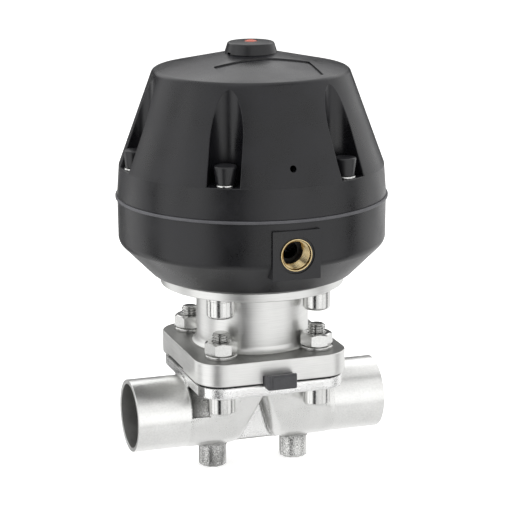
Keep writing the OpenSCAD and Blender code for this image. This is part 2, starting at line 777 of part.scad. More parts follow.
module screw_caps() {
    bevel = 0.5;
    stem_r = screw_socket_af / 2 - fit_gap;
    color("#232325") at_screws(screw_at) translate([0, 0, plug_z]) rotate_extrude()
        polygon([[0, -plug_stem_h], [stem_r, -plug_stem_h],
            [stem_r, 0], [plug_foot_d / 2, 0], [plug_top_d / 2, plug_h - bevel],
            [plug_top_d / 2 - bevel, plug_h], [0, plug_h]]);
}

module housing_inserts() {
    color("#c9a54c") at_screws(screw_at) translate([0, 0, rim_z - insert_l])
        ring(insert_d / 2, screw_d / 2 + fit_gap, insert_l);
}

// One unbroken helical tube whose end turns close up, from z = 0 to z = height
module coil_spring(mean_d, wire, turns, height) {
    per_turn = 12;
    sides = 8;
    steps = turns * per_turn;
    closed_rise = wire + 0.6;
    open_rise = (height - wire - 2 * closed_rise) / (turns - 2);
    function level(i) = let (t = i / per_turn)
        wire / 2 + closed_rise * min(t, 1) + open_rise * max(0, min(t, turns - 1) - 1)
        + closed_rise * max(0, t - turns + 1);
    function spot(i) = let (a = 360 * i / per_turn) [cos(a) * mean_d / 2, sin(a) * mean_d / 2, level(i)];
    points = [for (i = [0 : steps], k = [0 : sides - 1])
        let (a = 360 * i / per_turn, b = 360 * k / sides)
        spot(i) + wire / 2 * [cos(a) * cos(b), sin(a) * cos(b), sin(b)]];
    skin = [for (i = [0 : steps - 1], k = [0 : sides - 1])
        let (p = i * sides + k, q = i * sides + (k + 1) % sides)
        each [[p, q, p + sides], [q, q + sides, p + sides]]];
    first = [for (k = [1 : sides - 2]) [0, k + 1, k]];
    last = [for (k = [1 : sides - 2]) [0, k, k + 1] + [1, 1, 1] * steps * sides];
    gaps = [for (i = [0 : steps - per_turn]) norm(spot(i + per_turn) - spot(i)) - wire];
    echo(str("least gap between turns ", min(gaps)));
    polyhedron(points = points, faces = concat(skin, first, last));
}

module outer_spring() {
    color("slategray") translate([0, 0, spring_seat + over])
        coil_spring(outer_coil_d, outer_wire, outer_turns, ceiling_z - spring_seat - 2 * over);
}

module inner_spring() {
    color("slategray") translate([0, 0, spring_seat + over])
        coil_spring(inner_coil_d, inner_wire, inner_turns, ceiling_z - spring_seat - 2 * over);
}

module indicator_cap() {
    hole_r = indicator_d / 2 + run_gap * 2;
    neck_r = hub_neck_d / 2;
    bevel = 0.8;
    groove_r = indicator_d / 2 + oring_w;
    color("#202022")
    difference() {
        rotate_extrude()
            polygon([[hole_r, ceiling_z], [neck_r, ceiling_z], [neck_r, hub_z], [hub_r, hub_z],
                [hub_top_d / 2, hub_top - bevel], [hub_top_d / 2 - bevel, hub_top],
                [hole_r, hub_top + bevel / 2]]);
        translate([0, 0, hub_z - oring_depth]) ring(groove_r + fit_gap, hole_r - over, oring_w);
        rotate([0, 0, hub_notch_turn]) translate([hub_r - 1, -hub_notch_w / 2, hub_z - over])
            cube([2, hub_notch_w, hub_notch_h + over]);
    }
}

module indicator_oring() {
    color("#101010") translate([0, 0, hub_z - oring_depth])
        ring(indicator_d / 2 + oring_w, indicator_d / 2 + run_gap, oring_w);
}

module spindle() {
    collar_r = spindle_r + collar_w;
    bevel = 0.6;
    socket_r = indicator_d / 3;
    color("lightsteelblue")
    difference() {
        rotate_extrude()
            polygon([[0, spindle_foot], [spindle_r - bevel, spindle_foot], [spindle_r, spindle_foot + bevel],
                [spindle_r, plate_z - collar_h], [collar_r, plate_z - collar_h], [collar_r, plate_z],
                [spindle_r, plate_z], [spindle_r, spindle_top - bevel], [spindle_r - bevel, spindle_top],
                [0, spindle_top]]);
        translate([0, 0, spindle_top - stem_nut_h]) cylinder(r = socket_r + fit_gap, h = stem_nut_h + over);
        translate([-spindle_d, 0, pin_z]) rotate([0, 90, 0])
            cylinder(r = pin_d / 2 + fit_gap, h = 2 * spindle_d);
    }
}

module compressor() {
    recess_r = stud_boss_r + seat_gap;
    recess_z = stud_boss_z + seat_gap;
    slot_w = 6;
    rib_root = 1.5;
    color("darkgray")
    difference() {
        union() {
            intersection() {
                translate([0, 0, bowl_cz]) sphere(r = compressor_R);
                translate([0, 0, bowl_cz - compressor_R])
                    cylinder(d = compressor_d, h = compressor_top - bowl_cz + compressor_R);
            }
            translate([0, 0, compressor_top - over])
                cylinder(r = compressor_neck_r, h = compressor_neck_h + over);
        }
        translate([0, 0, bowl_cz - bowl_R]) cylinder(r = recess_r, h = recess_z - bowl_cz + bowl_R);
        translate([0, 0, recess_z - over]) cylinder(r = stud_d / 2 + fit_gap, h = stud_top);
        translate([0, 0, spindle_foot - foot_gap + fit_gap])
            cylinder(r = spindle_r + fit_gap, h = spindle_top);
        translate([-compressor_d, 0, pin_z]) rotate([0, 90, 0])
            cylinder(r = pin_d / 2 + fit_gap, h = 2 * compressor_d);
        for (i = [0 : 3]) rotate([0, 0, 45 + 90 * i])
            translate([compressor_neck_r + rib_root, -slot_w / 2, flange_z])
                cube([compressor_d, slot_w, compressor_h + over]);
    }
}

module compressor_pin() {
    color("gray") translate([-compressor_neck_r, 0, pin_z]) rotate([0, 90, 0])
        cylinder(d = pin_d, h = 2 * compressor_neck_r);
}

module diaphragm_stud() {
    color("gray") {
        translate([0, 0, stud_head_z]) rotate_extrude()
            polygon([[0, 0], [stud_head_d / 2, 0], [stud_head_d / 2, stud_head_h], [stud_d / 2, stud_head_h],
                [stud_d / 2, stud_top - stud_head_z], [0, stud_top - stud_head_z]]);
    }
}

module lower_plate() {
    lip = 1;
    color("darkgray") translate([0, 0, plate_z]) rotate_extrude()
        polygon([[spindle_r + fit_gap, 0], [plate_r - lip, 0], [plate_r, lip], [plate_r, lower_plate_t],
            [spindle_r + fit_gap, lower_plate_t]]);
}

module spring_plate() {
    guide_r = (inner_coil_d + inner_wire) / 2 + 1;
    guide_t = 3;
    guide_rise = 3;
    edge = plate_r - 1.5;
    color("darkgray") translate([0, 0, spring_plate_z]) rotate_extrude()
        polygon([[spindle_r + fit_gap, 0], [edge, 0], [edge, spring_plate_t],
            [guide_r + guide_t, spring_plate_t], [guide_r + guide_t, spring_plate_t + guide_rise],
            [guide_r, spring_plate_t + guide_rise], [guide_r, spring_plate_t],
            [spindle_r + fit_gap, spring_plate_t]]);
}

module stem_nut() {
    color("lightgray") translate([0, 0, spring_seat])
        hex_nut(stem_nut_af, stem_nut_h, spindle_r + fit_gap);
}

module indicator_pin() {
    pin_r = indicator_d / 2;
    tip_z = hub_top + indicator_over;
    shoulder_z = tip_z - indicator_dome;
    socket_gap = 1;
    socket_r = indicator_d / 3;
    color("#d8452a") rotate_extrude()
        polygon(concat([[0, spindle_top - stem_nut_h + socket_gap],
            [socket_r, spindle_top - stem_nut_h + socket_gap], [socket_r, spindle_top],
            [pin_r, spindle_top]],
            [for (i = [0 : 6]) [pin_r * cos(15 * i), shoulder_z + indicator_dome * sin(15 * i)]]));
}

valve_body();
sealing_diaphragm();
distance_piece();
body_screws();
body_screw_washers();
nut_washers();
body_nuts();
lower_housing();
air_port_insert();
base_screws();
base_washers();
base_inserts();
guide_bush();
spindle_seals();
actuator_diaphragm();
upper_housing();
housing_screws();
screw_caps();
housing_inserts();
outer_spring();
inner_spring();
indicator_cap();
indicator_oring();
spindle();
compressor();
compressor_pin();
diaphragm_stud();
lower_plate();
spring_plate();
stem_nut();
indicator_pin();
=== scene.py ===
# %% [markdown]
# # A pneumatic diaphragm valve, dressed for its photograph
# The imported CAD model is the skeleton: it gives every piece its place, and the bodies that move. This script puts
# finished pieces over it. Everything is drawn in millimetres and turned to metres once, when a piece is finished.

# %% load the frame
import math

import bmesh
import bpy
from mathutils import Matrix, Quaternion, Vector


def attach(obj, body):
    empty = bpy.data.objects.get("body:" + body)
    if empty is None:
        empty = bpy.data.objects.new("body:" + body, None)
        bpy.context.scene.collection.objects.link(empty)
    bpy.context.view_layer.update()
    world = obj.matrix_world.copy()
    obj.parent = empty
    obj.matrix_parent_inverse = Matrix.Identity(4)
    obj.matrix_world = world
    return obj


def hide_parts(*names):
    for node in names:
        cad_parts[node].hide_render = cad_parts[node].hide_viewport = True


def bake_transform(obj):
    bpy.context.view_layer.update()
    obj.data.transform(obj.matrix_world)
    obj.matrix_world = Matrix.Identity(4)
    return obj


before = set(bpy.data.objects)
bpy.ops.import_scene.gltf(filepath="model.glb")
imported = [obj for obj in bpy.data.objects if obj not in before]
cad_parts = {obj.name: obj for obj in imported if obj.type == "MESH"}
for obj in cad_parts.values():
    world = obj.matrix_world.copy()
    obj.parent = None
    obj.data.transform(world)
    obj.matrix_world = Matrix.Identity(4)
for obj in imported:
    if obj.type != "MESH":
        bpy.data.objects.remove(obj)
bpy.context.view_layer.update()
scene = bpy.context.scene
MM = 0.001

# %% [markdown]
# ## Camera
# The photograph was taken with a long lens, a little above the pipe and from the left of the air port. A pinhole
# camera was fitted to the weld ends, the flange and the actuator, and these are its numbers.

# %% camera
AZIMUTH, ELEVATION, ROLL = math.radians(-18.2), math.radians(13.97), math.radians(0.307)
TARGET, DISTANCE = Vector((0, 0, 0.0984)), 0.9586
to_camera = Vector((math.sin(AZIMUTH) * math.cos(ELEVATION),
                    -math.cos(AZIMUTH) * math.cos(ELEVATION), math.sin(ELEVATION)))
lens = bpy.data.cameras.new("camera")
lens.sensor_width, lens.lens, lens.shift_x, lens.shift_y = 36, 145.66, 0.0080, 0.0009
camera = bpy.data.objects.new("camera", lens)
camera.location = TARGET + to_camera * DISTANCE
camera.rotation_euler = (to_camera.to_track_quat("Z", "Y") @ Quaternion((0, 0, 1), -ROLL)).to_euler()
scene.collection.objects.link(camera)
scene.camera = camera
scene.view_settings.view_transform = "Standard"
print("camera at", [round(v, 3) for v in camera.location])

# %% [markdown]
# ## Colours and nodes
# Colours are written as the sRGB hex values that an eye or a colour picker reads, and turned to the linear values
# that a shader works with. One helper adds a node: a socket given as an input is linked, anything else is a value.


# %% colour and node helpers
def linear(colour):
    """The linear RGBA value of an sRGB hex colour."""
    parts = [int(colour[i:i + 2], 16) / 255 for i in (1, 3, 5)]
    return [c / 12.92 if c <= 0.04045 else ((c + 0.055) / 1.055) ** 2.4 for c in parts] + [1]


def add(tree, kind, inputs=(), **settings):
    """Adds a node, makes its settings, and fills its inputs with links or values."""
    made = tree.nodes.new(kind)
    for name, value in settings.items():
        setattr(made, name, value)
    for name, value in dict(inputs).items():
        if isinstance(value, bpy.types.NodeSocket):
            tree.links.new(value, made.inputs[name])
        else:
            made.inputs[name].default_value = value
    return made


def bare_tree(owner):
    """The node tree of a material or world, with nothing in it."""
    owner.use_nodes = True
    owner.node_tree.nodes.clear()
    return owner.node_tree


print("sRGB #808080 is", round(linear("#808080")[0], 3), "in linear light")

# %% [markdown]
# ## A finish
# A real surface is never one colour. Here two noises work together: a fine grain of a known size, which also
# drives the bump, and wide patches, as from handling. Both shift the colour and the roughness between two values. The
# pattern is tied to Object coordinates, so that it stays on the piece when the piece moves.


# %% finish recipe
def finish(name, dark, light, rough, grain_mm, depth_mm, stretch=(1, 1, 1), patch_mm=15, hollow=None, **shader):
    """A material whose colour drifts in patches, and whose roughness and bump follow a grain of a real size.

    With a painted corner shade colour, the mesh's attribute of that name paints shade into its inner corners."""
    material = bpy.data.materials.new(name)
    tree = bare_tree(material)
    place = add(tree, "ShaderNodeTexCoord").outputs["Object"]
    along = add(tree, "ShaderNodeMapping", {"Vector": place, "Scale": stretch}).outputs[0]
    grain = add(tree, "ShaderNodeTexNoise", {"Vector": along, "Scale": 1 / (grain_mm * MM), "Detail": 3}).outputs[0]
    patch = add(tree, "ShaderNodeTexNoise", {"Vector": place, "Scale": 1 / (patch_mm * MM), "Detail": 2}).outputs[0]
    both = add(tree, "ShaderNodeMix", {0: 0.5, 2: grain, 3: patch}).outputs[0]
    tone = add(tree, "ShaderNodeMapRange", {"Value": both, 1: 0.3, 2: 0.7}).outputs[0]
    colour = add(tree, "ShaderNodeMix", {0: tone, 6: linear(dark), 7: linear(light)}, data_type="RGBA").outputs[2]
    # Painted shade: the corner attribute mixes the colour towards a dark one in inner corners.
    if hollow:
        corner = add(tree, "ShaderNodeAttribute", attribute_name="hollow").outputs["Fac"]
        colour = add(tree, "ShaderNodeMix", {0: corner, 6: colour, 7: linear(hollow)}, data_type="RGBA").outputs[2]
    sheen = add(tree, "ShaderNodeMapRange", {"Value": both, 1: 0.3, 2: 0.7, 3: rough[0], 4: rough[1]}).outputs[0]
    bump = add(tree, "ShaderNodeBump", {"Height": grain, "Distance": depth_mm * MM, "Strength": 1}).outputs[0]
    surface = add(tree, "ShaderNodeBsdfPrincipled", {"Base Color": colour, "Roughness": sheen, "Normal": bump})
    for socket, value in shader.items():
        surface.inputs[socket.replace("_", " ")].default_value = value
    add(tree, "ShaderNodeOutputMaterial", {"Surface": surface.outputs[0]})
    print(f"{name}: a grain of {grain_mm} mm, {depth_mm} mm deep")
    return material


# %% [markdown]
# ## Finishes
# Each finish is named for the real material and for how its surface was made. Grain sizes are real ones, in
# millimetres, except where a comment says that a finer grain is drawn coarser so that it shows.

# %% metals
# An investment casting, ground and polished where a belt could reach it: a pale satin grey, with painted shade in its
# inner corners.
cast_steel = finish("stainless casting, belt polished", "#dededc", "#f6f6f4", (0.24, 0.36), 0.5, 0.014,
                    hollow="#6a6a68", Metallic=1)
# The same casting where no belt could reach it, blasted with beads: as pale, but it sparkles, with the same painted
# shade in its inner corners.
# Dents of 0.1 mm are drawn as 0.5 mm, so that they show.
cast_skin = finish("stainless casting, bead blasted", "#e4e4e2", "#ffffff", (0.18, 0.32), 0.5, 0.13,
                   hollow="#6a6a68", Metallic=1)
# Round the screw heads and on the bosses the blasted skin was never touched again: coarse, and spotted with
# dark; beside the screw heads its darker tone is partly painted shade, and its inner corners get a deeper painted
# shade. Dents of 0.2 mm are drawn as 0.7 mm, so that they show.
raw_skin = finish("stainless casting, as blasted", "#666664", "#f2f2f0", (0.14, 0.30), 0.7, 0.22,
                  hollow="#4a4a48", Metallic=1)
# A tube end, drawn and pickled: a satin mirror, whose orange peel breaks reflections into grain. A peel of 0.3 mm is
# drawn as 0.8 mm, so that it shows.
turned_tube = finish("stainless tube, drawn and pickled", "#e6e6e4", "#fcfcfa", (0.28, 0.37), 0.8, 0.06,
                     (0.8, 1, 1), Metallic=1)
# The same tube inside, where only acid reached: a duller, darker grey.
pickled_bore = finish("stainless tube, pickled inside", "#babab8", "#cececc", (0.32, 0.42), 0.5, 0.02, Metallic=1)
# Turned and milled bar: a satin grey with fine lines that run level round the neck and along the flange.
milled_steel = finish("stainless bar, turned and milled", "#dededc", "#f2f2f0", (0.34, 0.46), 0.5, 0.010,
                      (0.04, 0.04, 1.2), Metallic=1)
# The flange's upper face is left as the face mill cut it: the same bar, but duller, and a darker grey as painted
# shade from the disc above it.
milled_face = finish("stainless bar, face milled, painted shade", "#848482", "#9c9c9a", (0.38, 0.48), 0.5, 0.010,
                     (1, 0.05, 1), Metallic=1)
# Cold formed stainless screws, nuts and washers: brighter than the rest, with faint forming marks.
fastener_steel = finish("stainless fasteners, cold formed", "#cacac8", "#e8e8e6", (0.15, 0.27), 0.6, 0.008,
                        Metallic=1)
# Rolled threads: the screws' ends above the flange are a darker, duller grey than the rest.
greased_thread = finish("stainless thread, rolled, darker", "#a4a4a2", "#d4d4d2", (0.16, 0.26), 0.6, 0.012,
                        Metallic=1)
# Brass bar, turned: pale gold, with rings from the tool.
turned_brass = finish("brass insert, turned", "#cbb07c", "#f0e0b6", (0.16, 0.28), 0.4, 0.008, (0.2, 1, 0.2),
                      Metallic=1)
# Bronze for the bush that guides the spindle: browner than the brass, with rings across its axis.
bronze = finish("bronze bush, turned", "#8f6a3c", "#b08d57", (0.30, 0.42), 0.4, 0.008, (0.2, 0.2, 1), Metallic=1)
# Spring wire, wound and oiled: dark steel with draw marks.
spring_wire = finish("spring steel wire, oiled", "#4d5054", "#6a6d72", (0.28, 0.40), 0.5, 0.012, Metallic=1)
# Aluminium plates, turned on both sides: a soft light grey.
plate_metal = finish("aluminium plate, turned", "#a9abac", "#c4c6c8", (0.30, 0.42), 0.5, 0.010, (0.3, 0.3, 1),
                     Metallic=1)
print("metals:", len(bpy.data.materials))

# %% plastics and rubbers
# Glass filled polyamide from a spark eroded mould: charcoal, with a fine even grain that makes its gloss satin,
# and patches that handling has left shinier.
moulded_cover = finish("polyamide housing, moulded", "#060608", "#1e1e22", (0.22, 0.46), 0.45, 0.008, patch_mm=16)
# Polyethylene plugs from a polished mould, glossier than the housing: a little greyer than its darkest black, as
# painted light on sides that sit in the shade of the pockets.
moulded_plug = finish("polyethylene plug, moulded, painted light", "#161618", "#202023", (0.28, 0.38), 0.6, 0.006, patch_mm=6)
# Compression moulded rubber: matt black, greyer where it was handled.
moulded_rubber = finish("rubber, compression moulded", "#1a1a1b", "#29292b", (0.55, 0.68), 0.4, 0.010, patch_mm=5)
# The diaphragm's tab comes from the same press; its face is a greyer, smoother rubber.
wiped_rubber = finish("rubber tab, greyer", "#3c3c3e", "#505054", (0.34, 0.44), 0.4, 0.008, patch_mm=5)
# Rubber on a woven cloth: dark grey, matt, with the cloth just felt through it.
cloth_rubber = finish("fabric rubber, pressed", "#4c4c50", "#5e5e62", (0.40, 0.50), 0.6, 0.012, patch_mm=9)
# The indicator is an acetal rod, tinted signal red all through and a little waxy.
tinted_rod = finish("acetal rod, tinted red", "#a8412a", "#c8573a", (0.25, 0.35), 0.5, 0.004, patch_mm=3)
print("metals, plastics and rubbers:", len(bpy.data.materials))

# %% [markdown]
# ## Shop tools
# Most of a valve is turned on a lathe, so the first tool draws half a section as a wire, rounds the corners that
# have a third number, and spins it. A box with rounded edges serves for what is milled.


# %% turning and milling
def wire(bm, points, closed=True):
    """Draws a wire through some points, and gives its vertices."""
    line = [bm.verts.new(point) for point in points]
    for a, b in zip(line, line[1:] + (line[:1] if closed else [])):
        bm.edges.new((a, b))
    return line


def clean(bm):
    """Closes seams and poles, and points every face outwards."""
    bmesh.ops.remove_doubles(bm, verts=bm.verts, dist=1e-4)
    bmesh.ops.dissolve_degenerate(bm, edges=bm.edges, dist=1e-5)
    bmesh.ops.recalc_face_normals(bm, faces=bm.faces)
    return bm


def spun(profile, steps=96, closed=True):
    """A shape in mm: (radius, height, rounding) points, drawn as a wire and spun about Z."""
    bm = bmesh.new()
    line = wire(bm, [(point[0], 0, point[1]) for point in profile], closed)
    for vert, point in zip(line, profile):
        if len(point) > 2:
            bmesh.ops.bevel(bm, geom=[vert], offset=point[2], offset_type="OFFSET", affect="VERTICES",
                            segments=4, profile=0.5, material=-1, clamp_overlap=False)
    bmesh.ops.spin(bm, geom=bm.verts[:] + bm.edges[:], cent=(0, 0, 0), axis=(0, 0, 1), dvec=(0, 0, 0),
                   angle=2 * math.pi, steps=steps, use_merge=True, use_duplicate=False)
    return clean(bm)


def block(low, high, corner=0, edge=0):
    """A box in mm, with its upright edges rounded by corner and the rest by edge."""
    bm = bmesh.new()
    bmesh.ops.create_cube(bm, size=1)
    size = [b - a for a, b in zip(low, high)]
    bmesh.ops.scale(bm, vec=size, verts=bm.verts)
    bmesh.ops.translate(bm, vec=[(a + b) / 2 for a, b in zip(low, high)], verts=bm.verts)
    for width, upright, segments in ((corner, True, 10), (edge, False, 3)):
        if width:
            bm.normal_update()
            chosen = [e for e in bm.edges if (abs(e.verts[0].co.z - e.verts[1].co.z) > 1e-6) == upright
                      and e.calc_face_angle(0) > 0.5]
            bmesh.ops.bevel(bm, geom=chosen, offset=width, offset_type="OFFSET", affect="EDGES",
                            segments=segments, profile=0.5, material=-1, clamp_overlap=True)
    return clean(bm)


print("shop tools: spun, block")

# %% [markdown]
# ## Putting shapes together
# A bolt pattern copies one shape to each of its places. Milled pockets and drilled holes are cut by Blender's exact
# boolean, which also fuses what is one casting or moulding.


# %% copies and booleans
def moved(bm, matrix):
    """The same shape, moved or turned."""
    bmesh.ops.transform(bm, matrix=matrix, verts=bm.verts)
    if matrix.determinant() < 0:
        bmesh.ops.reverse_faces(bm, faces=bm.faces)
    return bm


def joined(*shapes):
    """Several shapes that don't touch, as one."""
    whole = bmesh.new()
    for shape in shapes:
        mesh = bpy.data.meshes.new("shape")
        shape.to_mesh(mesh)
        shape.free()
        whole.from_mesh(mesh)
        bpy.data.meshes.remove(mesh)
    return whole


def repeated(shape, places):
    """Copies of a shape at each of the places, as one."""
    copies = [moved(shape.copy(), place) for place in places]
    shape.free()
    return joined(*copies)


def placed(bm, name):
    """A shape as an object of the scene."""
    mesh = bpy.data.meshes.new(name)
    bm.to_mesh(mesh)
    bm.free()
    made = bpy.data.objects.new(name, mesh)
    scene.collection.objects.link(made)
    return made


def worked(shape, *modifiers):
    """A shape after some modifiers, each given as its kind and settings."""
    bench = [placed(shape, "bench")]
    for kind, settings in modifiers:
        modifier = bench[0].modifiers.new(kind, kind)
        for name, value in settings.items():
            if isinstance(value, bmesh.types.BMesh):
                value = placed(value, "bench")
                bench.append(value)
            setattr(modifier, name, value)
    result = bmesh.new()
    result.from_object(bench[0], bpy.context.evaluated_depsgraph_get())
    for thing in bench:
        bpy.data.meshes.remove(thing.data)
    return result


def boolean(operation, shape, tools):
    """A shape after an exact boolean with each of the tools."""
    return worked(shape, *[("BOOLEAN", {"operation": operation, "solver": "EXACT", "object": t}) for t in tools])


def cut(shape, *tools):
    """A shape with each of the tools taken away."""
    return boolean("DIFFERENCE", shape, tools)


def fused(shape, *others):
    """Overlapping shapes as one skin."""
    return boolean("UNION", shape, others)


def common(shape, other):
    """What two shapes have in common."""
    return boolean("INTERSECT", shape, [other])


BOLTS = [Matrix.Translation((23 * x, 24.5 * y, 0)) for x in (-1, 1) for y in (-1, 1)]
SCREW_TURNS = [Matrix.Rotation(math.radians(60 * i), 4, "Z") for i in range(6)]
SCREWS = [turn @ Matrix.Translation((55.1, 0, 0)) for turn in SCREW_TURNS]
print("flange bolts:", len(BOLTS), "housing screws:", len(SCREWS))

# %% [markdown]
# ## Finished pieces
# One helper turns a shape into a finished piece: it scales it to metres, shades it smooth up to a sharp angle, gives
# it its finish, hangs it on the body that carries it and hides the CAD nodes it stands for. Another gives some of its
# faces a second finish, as where a casting is polished on one side only.


# %% pieces and their second finish
def piece(bm, name, body, slot, material, *nodes, sharp=32):
    """A finished piece: in metres, smooth up to the sharp angle, with its body and CAD nodes; slot is not used."""
    bmesh.ops.scale(bm, vec=(MM, MM, MM), verts=bm.verts)
    made = placed(bm, name)
    mesh = made.data
    mesh.shade_smooth()
    mesh.set_sharp_from_angle(angle=math.radians(sharp))
    mesh.materials.append(material)
    made.modifiers.new("weighted normals", "WEIGHTED_NORMAL").keep_sharp = True
    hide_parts(*nodes)
    if body:
        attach(made, body)
    print(f"{name}: {len(mesh.polygons)} faces")
    return made


def refinish(made, material, chosen):
    """Gives another finish to the faces that are chosen by their middle, in mm, and their normal."""
    made.data.materials.append(material)
    faces = [face for face in made.data.polygons if chosen(face.center / MM, face.normal)]
    for face in faces:
        face.material_index = len(made.data.materials) - 1
    print(f"{material.name}: {len(faces)} faces of {made.name}")


# %% [markdown]
# ## Upper housing
# The cover is a moulding: a low band, and a cone with six screw pockets whose lips are rounded. A boolean would
# leave knife edges where a pocket runs out at the crown, so the cone is lofted instead: a closed wire is drawn round
# it at each height, its lip corners are rounded as wires, and the wires are bridged from one height to the next. The
# roof carries a shallow bare field, and the front a breather hole.

# %% the cover's outline
SPLIT_Z, BAND_TOP, CROWN_Z, HUB_Z = 129.2, 143.3, 186.3, 193.5
BAND_FOOT, BAND_R, CROWN_R, HUB_R = 61.7, 60.65, 44.9, 12.0
POCKET_AT, POCKET_R, LIP, INSET = 53.1, 7.3, 0.9, 0.1
CONE_SLOPE = (BAND_R - CROWN_R) / (CROWN_Z - BAND_TOP)
APEX_Z = BAND_TOP + (BAND_R - INSET - POCKET_AT + POCKET_R) / CONE_SLOPE
crown = spun([(BAND_R - CONE_SLOPE * (APEX_Z + 0.2 - BAND_TOP), APEX_Z + 0.2), (CROWN_R, CROWN_Z, 1.3),
              (HUB_R, HUB_Z)], 4, closed=False)
edge_line = sorted({(round(math.hypot(v.co.x, v.co.y), 4), round(v.co.z, 4)) for v in crown.verts},
                   key=lambda point: point[1])
crown.free()
heights = [APEX_Z - (APEX_Z - BAND_TOP) * (1 - i / 30) ** 1.7 for i in range(30)]
cone_line = [(BAND_R - CONE_SLOPE * (z - BAND_TOP), z) for z in heights] + edge_line
outline = [(BAND_R - 0.3, BAND_TOP - 1.6)] + [(radius - INSET, z) for radius, z in cone_line]
print("levels of the cover:", len(outline))


# %% loft the cone
WALL_STEPS = 14


def pocket_wall(radius):
    """Points from the middle of a pocket's back to its lip, inside a circle of that radius."""
    meet = (radius ** 2 + POCKET_AT ** 2 - POCKET_R ** 2) / (2 * POCKET_AT)
    if radius > math.hypot(POCKET_AT, POCKET_R):
        side = math.sqrt(radius ** 2 - POCKET_R ** 2) - POCKET_AT
        turn = math.pi / 2
    else:
        side = 0
        turn = math.acos(max(-1, min(1, (POCKET_AT - meet) / POCKET_R)))
    length = POCKET_R * turn + side
    for i in range(WALL_STEPS + 1):
        way = length * i / WALL_STEPS
        angle = min(way / POCKET_R, turn)
        yield Vector((POCKET_AT - POCKET_R * math.cos(angle) + max(0, way - POCKET_R * turn),
                      POCKET_R * math.sin(angle)))


def ring_at(bm, radius, z, arcs=10):
    """A closed wire round the cover at one height, with a pocket every 60 degrees."""
    deep = radius > POCKET_AT - POCKET_R + 0.004
    if deep:
        wall = list(pocket_wall(radius))
    else:
        last = math.radians(0.4)
        turns = [last * i / WALL_STEPS for i in range(WALL_STEPS + 1)]
        wall = [Vector((radius * math.cos(a), radius * math.sin(a))) for a in turns]
    lip = math.atan2(wall[-1].y, wall[-1].x)
    arc = [lip + (math.radians(30) - lip) * i / arcs for i in range(1, arcs + 1)]
    half = wall + [Vector((radius * math.cos(a), radius * math.sin(a))) for a in arc]
    sector = [Vector((p.x, -p.y)) for p in half[:0:-1]] + half[:-1]
    verts = wire(bm, [turn @ Vector((p.x, p.y, z)) for turn in SCREW_TURNS for p in sector])
    lips = [verts[k * len(sector) + i] for k in range(6) for i in (arcs, arcs + 2 * WALL_STEPS)]
    reach = min(LIP, 0.45 * (wall[-1] - wall[-2]).length)
    bmesh.ops.bevel(bm, geom=lips, offset=reach, offset_type="OFFSET", affect="VERTICES", segments=4,
                    profile=0.5, material=-1, clamp_overlap=False)
    return bm


cone = bmesh.new()
loops = []
for radius, z in outline:
    before = set(cone.edges)
    ring_at(cone, radius, z)
    loops.append([e for e in cone.edges if e not in before])
for below, above in zip(loops, loops[1:]):
    bmesh.ops.bridge_loops(cone, edges=below + above)
bmesh.ops.holes_fill(cone, edges=[e for e in cone.edges if e.is_boundary])
clean(cone)
print("cone:", len(cone.faces), "faces, open edges:", sum(not e.is_manifold for e in cone.edges))

# %% the whole cover
band = spun([(0, SPLIT_Z), (BAND_FOOT, SPLIT_Z, 0.3), (BAND_R, BAND_TOP, 0.5), (0, BAND_TOP)], 192)
chamber = spun([(0, SPLIT_Z - 1), (50.1, SPLIT_Z - 1), (50.1, 131.3), (41.1, 140.3), (41.1, 180.9),
                (0, 180.9)], 96)
neck_hole = spun([(0, 180), (8.05, 180), (8.05, 200), (0, 200)], 48)
breather = moved(spun([(0, 30), (1.5, 30), (1.5, 70), (0, 70)], 32),
                 Matrix.Translation((0, 0, 150.8)) @ Matrix.Rotation(math.radians(90), 4, "X"))
head_hole = repeated(spun([(0, 139.3), (4.4, 139.3), (4.4, 145), (0, 145)], 40), SCREWS)
ROOF_SLOPE = (HUB_Z - CROWN_Z) / (CROWN_R - HUB_R)
FIELD_R, FIELD_DEPTH = 40.9, 0.7
field_low = HUB_Z - FIELD_DEPTH
field = spun([(HUB_R, field_low), (FIELD_R, field_low - ROOF_SLOPE * (FIELD_R - HUB_R)), (FIELD_R, HUB_Z + 2),
              (HUB_R, HUB_Z + 2)], 128)
field = common(field, block((-22.5, -42, 170), (22.5, -15, 200), corner=1))
cover = cut(fused(cone, band), chamber, neck_hole, breather, head_hole, field)
piece(clean(cover), "upper_cover", "valve", "housing_plastic", moulded_cover, "upper_housing")

# %% [markdown]
# ## Lower housing and clamped diaphragm
# The lower housing is a bowl whose wall turns in to the disc below with a soft knee. The flat pad at its front
# carries the air port. The actuator's own diaphragm shows only as a thin ring between the two housings: in the valve
# its rim stays with the housings and its middle moves with the spindle, but the piece is hung on no body.

# %% lower housing
DISC_R, DISC_TOP, BOWL_TOP = 42.45, 91.7, 127.8
bowl = spun([(0, DISC_TOP), (DISC_R, DISC_TOP, 0.3), (46.55, 93.1, 0.8), (61.4, 108.1, 1.8), (61.6, BOWL_TOP, 0.3),
             (50.1, BOWL_TOP), (50.1, 108.1), (37.45, 96.7), (10.55, 96.7), (10.55, 102.7), (0, 102.7)], 192)
pad = block((-11, -62.4, 102.4), (11, -52, 124.6), edge=0.35)
stem_way = spun([(0, 90), (6, 90), (6, 104), (0, 104)], 48)
PORT_Z = 113.5
# Lays an upright shape down, so that it points out of the port.
LEVEL = Matrix.Translation((0, 0, PORT_Z)) @ Matrix.Rotation(math.radians(90), 4, "X")
port_hole = moved(spun([(0, 42), (4, 42), (4, 51.4), (7.25, 51.4), (7.25, 61.6), (8.3, 61.6, 0.2), (8.3, 64),
                        (0, 64)], 64), LEVEL)
lower = cut(fused(bowl, pad), stem_way, port_hole)
piece(clean(lower), "lower_bowl", "valve", "housing_plastic", moulded_cover, "lower_housing")

